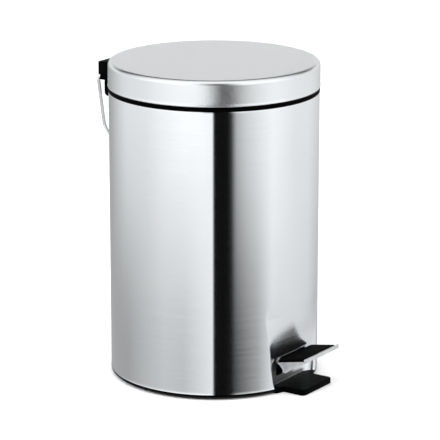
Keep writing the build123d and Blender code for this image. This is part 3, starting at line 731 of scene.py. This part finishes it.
def body_reach(turn, z):
    """The body's radius at an angle from the front and a height, with the recess pressed in."""
    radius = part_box("outer_body")[1].x
    back, bow, half = recess_back(z)
    edge = np.sqrt(radius**2 - half**2)
    low = np.full_like(turn, DEEPEST_SHARE * radius)
    high = np.full_like(turn, radius + SHEET)
    for _ in range(HALVINGS):
        middle = (low + high) / 2
        x = middle * np.sin(turn)
        y = -middle * np.cos(turn)
        face = y + back - bow * (x / half) ** 2
        side = (np.abs(x) - half + (y + edge) * tan(RECESS_DRAFT)) * cos(RECESS_DRAFT)
        pocket = smooth_max(face, side, RECESS_FILLET)
        outside = smooth_max(middle - radius, -pocket, RECESS_EDGE) > 0
        high = np.where(outside, middle, high)
        low = np.where(outside, low, middle)
    return np.where(np.cos(turn) > 0, (low + high) / 2, radius)


def body_turns(heights, seam):
    """Angles round the body for each row of heights, closest together along the recess's side walls."""
    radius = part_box("outer_body")[1].x
    wall = np.arcsin(recess_back(heights)[2] / radius)[:, None]
    middle = np.linspace(0, SIDE_WALL[0], BACK_COLUMNS)[1:]
    near = wall * np.concatenate((middle, np.linspace(*SIDE_WALL, SIDE_COLUMNS)[1:]))
    edge = near[:, -1:] + (RECESS_TURN - near[:, -1:]) * np.linspace(0, 1, EDGE_COLUMNS)[1:]
    half = np.concatenate((near, edge), axis=1)
    rest = np.linspace(RECESS_TURN, pi - SEAM_CLEAR * seam, ROUND_COLUMNS)[1:]
    weld = pi + seam * np.array(SEAM_PLACES)
    back = np.concatenate((rest, weld, 2 * pi - rest[::-1])) + 0 * wall
    return np.concatenate((-half[:, ::-1], 0 * wall, half, back), axis=1)


def inward(points):
    """Unit normals of a closed grid of points, on the side of the axis."""
    up = np.gradient(points, axis=0)
    along = np.roll(points, -1, axis=1) - np.roll(points, 1, axis=1)
    normal = np.cross(up, along)
    normal /= np.linalg.norm(normal, axis=-1, keepdims=True)
    outwards = np.sum(normal[..., :2] * points[..., :2], axis=-1, keepdims=True)
    return -normal * np.sign(outwards)


def slot_cutter():
    """The lever's slot, a rounded oblong through the recess."""
    outline = []
    middle = (SLOT_LOW + SLOT_HIGH) / 2
    rise = (SLOT_HIGH - SLOT_LOW) / 2 - SLOT_CORNER
    for quarter, (side, up) in enumerate(((1, 1), (-1, 1), (-1, -1), (1, -1))):
        centre = (side * (SLOT_HALF - SLOT_CORNER), middle + up * rise)
        start = quarter * pi / 2
        outline += arc(*centre, SLOT_CORNER, start, start + pi / 2, SLOT_CORNER_POINTS)
    bm = bmesh.new()
    face_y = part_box("outer_body")[0].y + RECESS_LEVELS[0][1] * MM
    near = [bm.verts.new((x, face_y - SLOT_REACH, z)) for x, z in outline]
    far = [bm.verts.new((x, face_y + SLOT_REACH, z)) for x, z in outline]
    bm.faces.new(near)
    bm.faces.new(far[::-1])
    for i in range(len(outline)):
        j = (i + 1) % len(outline)
        bm.faces.new((near[i], far[i], far[j], near[j]))
    bmesh.ops.recalc_face_normals(bm, faces=bm.faces)
    mesh = bpy.data.meshes.new("slot_cutter")
    bm.to_mesh(mesh)
    bm.free()
    return new_object("slot_cutter", mesh)


def make_body():
    """Rolled steel shell: flared foot, drawn-in top, pressed recess, lever's slot and a seam at the back."""
    low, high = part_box("outer_body")
    seam = SEAM_HALF / high.x
    recess_top = RECESS_LEVELS[-1][0] * MM + RECESS_SPARE
    heights = np.concatenate((
        np.linspace(low.z, low.z + FLARE_HEIGHT, FOOT_RINGS),
        np.linspace(low.z + FLARE_HEIGHT, recess_top, RECESS_RINGS)[1:],
        np.linspace(recess_top, high.z - FLARE_HEIGHT, MIDDLE_RINGS)[1:],
        np.linspace(high.z - FLARE_HEIGHT, high.z, TOP_RINGS)[1:],
    ))
    turns = body_turns(heights, seam)
    levels = heights[:, None] + 0 * turns
    reach = body_reach(turns, levels)
    reach += np.clip(SEAM_FADE - np.abs(turns - pi) / seam, 0, 1) * SEAM_RISE
    reach += FLARE * np.clip(1 - (levels - low.z) / FLARE_HEIGHT, 0, 1) ** 2
    reach -= FLARE * np.clip(1 - (high.z - levels) / FLARE_HEIGHT, 0, 1) ** 2
    outer = np.stack((reach * np.sin(turns), -reach * np.cos(turns), levels), axis=-1)
    inner = outer + inward(outer) * SHEET
    inner[..., 2] = levels
    mesh = grid_mesh("body_skin", np.concatenate((outer, inner[::-1])))
    body = new_object("body_skin", mesh, steel_body)
    tidy_mesh(mesh)
    apply_cut(body, slot_cutter())
    tidy_mesh(body.data)
    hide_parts("outer_body")
    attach(body, "frame")


# ---------------------------------------------------------------- lid


def make_lid():
    """Lid skin: flat top, round crown, straight skirt with a flared and rolled lower edge."""
    low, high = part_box("lid_shell")
    corner_r = high.x - LID_CORNER
    corner_z = high.z - LID_CORNER
    skirt_low = low.z + HEM
    outline = [(0.0, high.z)]
    outline += [(corner_r * share, high.z) for share in TOP_SHARES]
    outline += arc(corner_r, corner_z, LID_CORNER, pi / 2, 0, CROWN_POINTS)
    skirt = np.linspace(corner_z - SKIRT_START, skirt_low + FLARE_HEIGHT, SKIRT_RINGS)
    outline += [(high.x, z) for z in skirt]
    for share in FLARE_SHARES:
        outline.append((high.x + LID_FLARE * share**2, skirt_low + FLARE_HEIGHT * (1 - share)))
    outline += arc(high.x + LID_FLARE - HEM, skirt_low, HEM, 0, -pi / 2, HEM_POINTS)[1:]
    inside = high.x - LID_WALL
    outline += [(inside, low.z + LID_INSIDE_LOW)]
    outline += arc(corner_r, corner_z, inside - corner_r, 0, pi / 2, INNER_POINTS)
    outline += [(0.0, corner_z + inside - corner_r)]
    lid = lathe("lid_skin", outline, steel_lid)
    notch_low = (-NOTCH_HALF, NOTCH_NEAR, low.z - CUT_SPARE)
    notch_high = (NOTCH_HALF, NOTCH_FAR, low.z + NOTCH_RISE)
    apply_cut(lid, block("notch", notch_low, notch_high))
    tidy_mesh(lid.data)
    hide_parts("lid_shell")
    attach(lid, "lid")


# ---------------------------------------------------------------- moulded and stamped parts


def rounded_copy(node, width):
    """A copy of a CAD node with its edges rounded, in the finish of its slot."""
    source = frame["nodes"][node]
    part = next(p for p in frame["record"]["subparts"] if p["node"] == node)
    mesh = source.data.copy()
    mesh.materials.clear()
    bm = bmesh.new()
    bm.from_mesh(mesh)
    bmesh.ops.remove_doubles(bm, verts=bm.verts, dist=NODE_WELD)
    bmesh.ops.dissolve_limit(bm, angle_limit=COPY_FLAT, verts=bm.verts, edges=bm.edges)
    bm.to_mesh(mesh)
    bm.free()
    piece = new_object(node + "_skin", mesh, FINISH[part["material_slot"]])
    piece.matrix_world = source.matrix_world
    bevel = piece.modifiers.new("rounding", "BEVEL")
    bevel.width = width
    bevel.segments = ROUNDING_STEPS
    bevel.limit_method = "ANGLE"
    bevel.angle_limit = ROUNDED_FROM
    bevel.use_clamp_overlap = True
    bake(piece)
    shade_smooth(piece.data, COPY_SHARP)
    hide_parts(node)
    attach(piece, BODY_OF[node])
    return piece


def shells(mesh):
    """The low and high corners of each separate shell in a mesh."""
    bm = bmesh.new()
    bm.from_mesh(mesh)
    seen = set()
    boxes = []
    for start in bm.verts:
        if start in seen:
            continue
        seen.add(start)
        front = [start]
        places = []
        while front:
            vert = front.pop()
            places.append(tuple(vert.co))
            for edge in vert.link_edges:
                other = edge.other_vert(vert)
                if other not in seen:
                    seen.add(other)
                    front.append(other)
        boxes.append((Vector(np.min(places, axis=0)), Vector(np.max(places, axis=0))))
    bm.free()
    return boxes


def cross_recesses(screws, heads_up):
    """Cuts a cross recess into the head of every upright screw in a piece."""
    boxes = shells(screws.data)
    for length, width in ((CROSS_LENGTH, CROSS_WIDTH), (CROSS_WIDTH, CROSS_LENGTH)):
        bm = bmesh.new()
        for low, high in boxes:
            place = (low + high) / 2
            place.z = high.z if heads_up else low.z
            size = Matrix.Diagonal((length, width, 2 * CROSS_DEPTH, 1))
            bmesh.ops.create_cube(bm, size=1.0, matrix=Matrix.Translation(place) @ size)
        mesh = bpy.data.meshes.new("cross")
        bm.to_mesh(mesh)
        bm.free()
        apply_cut(screws, new_object("cross", mesh))
    shade_smooth(screws.data, COPY_SHARP)


# ---------------------------------------------------------------- finish of the CAD nodes


def dress_nodes():
    """Puts the procedural finish of its slot in the record on every CAD node."""
    for part in frame["record"]["subparts"]:
        obj = frame["nodes"][part["node"]]
        obj.data.materials.clear()
        obj.data.materials.append(FINISH[part["material_slot"]])


bpy.context.scene.view_settings.view_transform = "Standard"
make_camera()
make_walls()
make_world()
make_floor()
make_lights()
dress_nodes()
for node, width in ROUNDED.items():
    rounded_copy(node, width)
cross_recesses(rounded_copy("liner_screws", SCREW_ROUNDING), False)
cross_recesses(rounded_copy("bracket_screws", SCREW_ROUNDING), True)
make_body()
make_lid()
